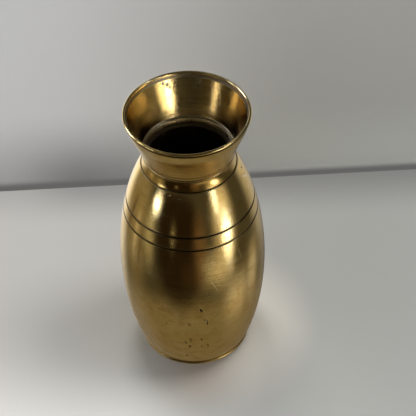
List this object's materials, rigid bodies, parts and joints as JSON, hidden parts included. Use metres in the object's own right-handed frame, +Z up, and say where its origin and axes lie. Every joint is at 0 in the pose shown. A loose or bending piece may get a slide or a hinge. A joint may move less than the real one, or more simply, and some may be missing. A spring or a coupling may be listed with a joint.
{
  "type": "brass kalash pot",
  "caption": "Tall oval brass kalash: a turned water pot with a funnel mouth, beaded rim, short neck collar, lightly grooved shoulder and flat base plate.",
  "frame": {"origin": "bottom centre of the pot, on the plane that it stands on", "axes": "+Z up along the turning axis, from the base plate to the mouth; the pot is the same all round"},
  "size_m": [0.1016, 0.1016, 0.208],
  "materials": {
    "mouth_flare": "turned and polished brass, fine circular turning marks, small casting pits",
    "mouth_braze_ring": "brazing spelter, smoothed flush, slightly paler than the brass",
    "neck_collar": "turned and polished brass, browned in the corners",
    "neck_braze_ring": "brazing spelter, left as it froze",
    "shoulder_shell": "turned and polished brass with one incised line, light scratches",
    "shoulder_braze_ring": "brazing spelter, left as it froze",
    "belly_shell": "turned and polished brass, satin towards the foot, casting pits",
    "base_braze_ring": "brazing spelter, left as it froze",
    "base_plate": "turned brass, worn and duller than the body"
  },
  "bodies": {
    "root": {"mouth_flare": "mouth_flare", "mouth_braze_ring": "mouth_braze_ring", "neck_collar": "neck_collar", "neck_braze_ring": "neck_braze_ring", "shoulder_shell": "shoulder_shell", "shoulder_braze_ring": "shoulder_braze_ring", "belly_shell": "belly_shell", "base_braze_ring": "base_braze_ring", "base_plate": "base_plate"}
  },
  "joints": []
}
